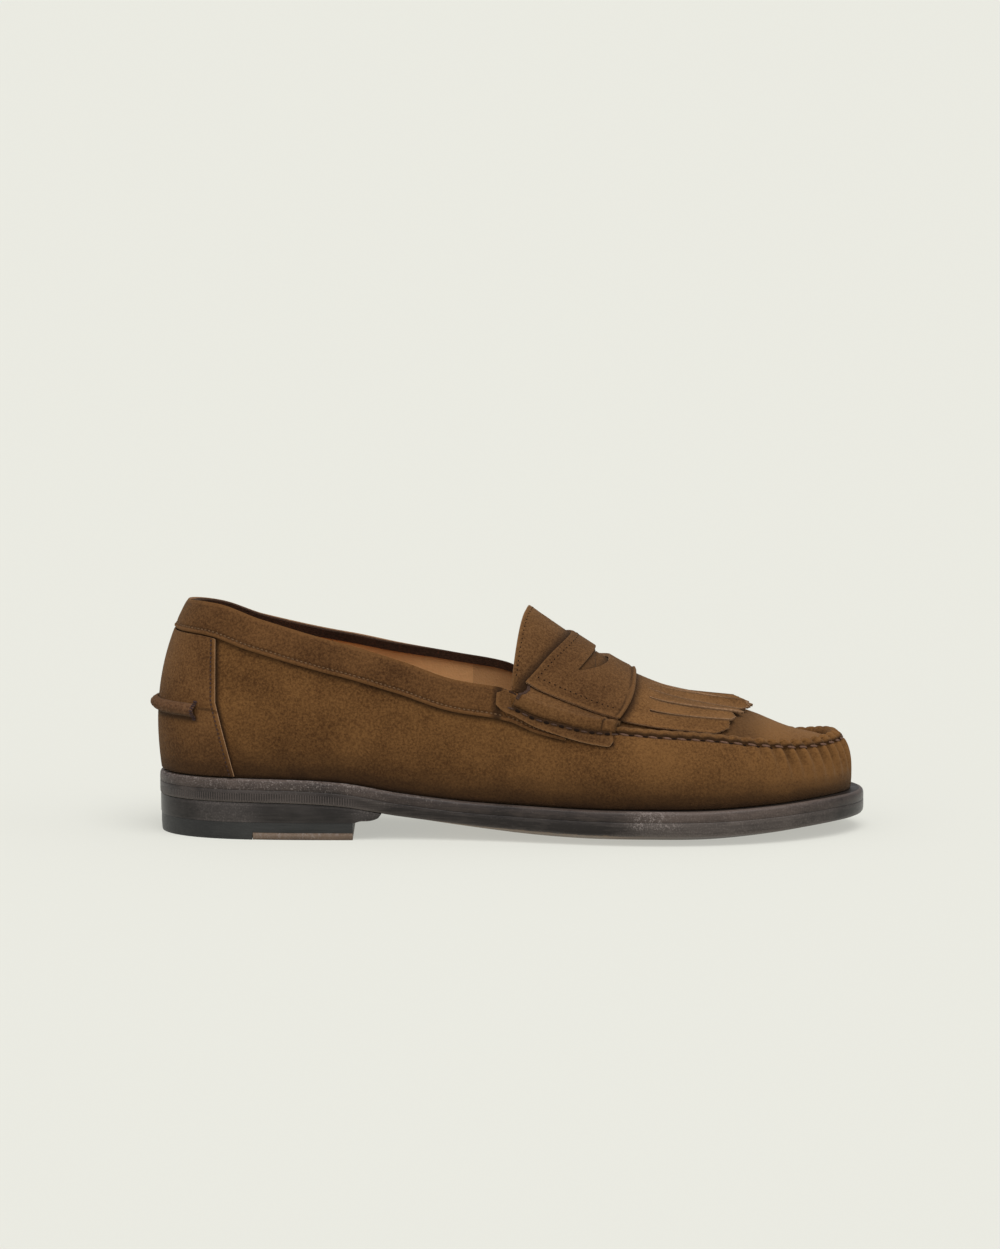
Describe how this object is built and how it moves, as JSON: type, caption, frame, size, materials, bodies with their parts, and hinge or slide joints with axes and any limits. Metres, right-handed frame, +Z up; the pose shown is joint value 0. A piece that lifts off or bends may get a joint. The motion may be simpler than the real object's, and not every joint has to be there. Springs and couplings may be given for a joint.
{
  "type": "kiltie loafer",
  "caption": "Low slip-on suede loafer with a sewn apron toe, a slotted saddle strap over a short fringed leather flap, a banded collar and a low stacked heel.",
  "frame": {"origin": "on the floor under the middle of the heel, on the heel's flat underside", "axes": "+X towards the toe, +Y towards the inner side of the foot, +Z up"},
  "size_m": [0.2998, 0.1041, 0.0973],
  "materials": {
    "suede": "brushed brown suede",
    "dark_suede": "dark brown suede",
    "lining_leather": "smooth tan leather",
    "edge_dressing": "stacked leather with a waxed dark edge",
    "rubber": "black rubber",
    "sole_leather": "brown sole leather"
  },
  "bodies": {
    "root": {"outsole": "edge_dressing", "midsole": "edge_dressing", "heel_base": "edge_dressing", "top_lift": "rubber", "quarter_tip": "sole_leather", "insole": "lining_leather", "upper": "suede", "collar_band": "suede", "topline_facing": "dark_suede", "counter": "suede", "heel_tab": "suede", "tongue": "suede", "kiltie": "suede", "penny_strap": "suede", "strap_roll_outer": "suede", "strap_roll_inner": "suede", "strap_flap_outer": "suede", "strap_flap_inner": "suede"}
  },
  "joints": []
}
